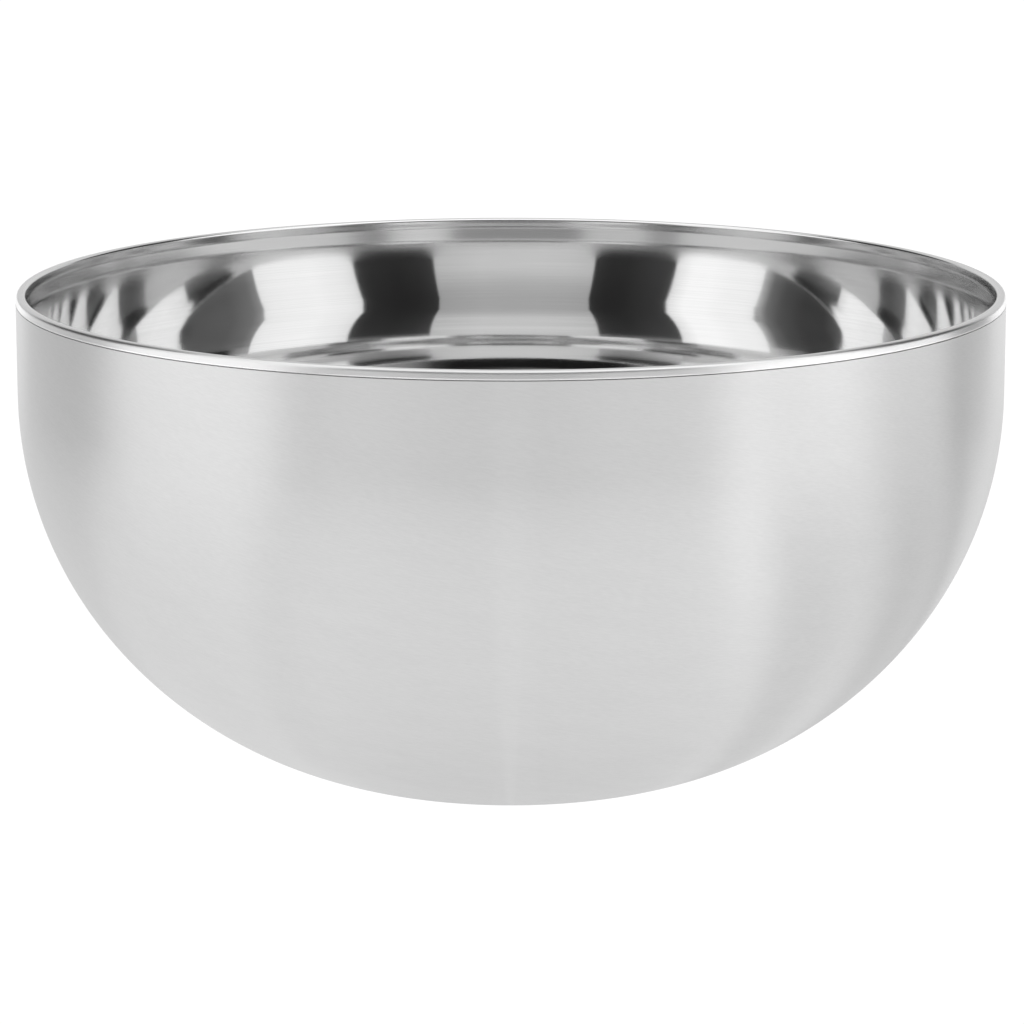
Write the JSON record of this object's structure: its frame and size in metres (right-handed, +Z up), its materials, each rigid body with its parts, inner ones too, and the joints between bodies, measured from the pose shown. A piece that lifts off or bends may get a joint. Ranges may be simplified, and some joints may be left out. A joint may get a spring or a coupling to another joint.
{
  "type": "shaving bowl",
  "caption": "Double-walled metal shaving bowl with a rolled rim: a mirror-finished inner shell held in a satin outer shell that stands on a small flat foot",
  "frame": {"origin": "centre of the flat base, on the surface that the bowl stands on", "axes": "+Z up along the axis of revolution; X and Y are equal, and -Y is the side that the picture shows"},
  "size_m": [0.12, 0.12, 0.0605],
  "materials": {
    "mirror_steel": "polished to a mirror, with faint circular polishing lines on the rim",
    "satin_steel": "satin, brushed with short strokes that run round the bowl",
    "sealant": "matte",
    "plug_steel": "plain turned"
  },
  "bodies": {
    "root": {"inner_shell": "mirror_steel", "outer_shell": "satin_steel", "rim_seal": "sealant", "vent_plug": "plug_steel"}
  },
  "joints": []
}
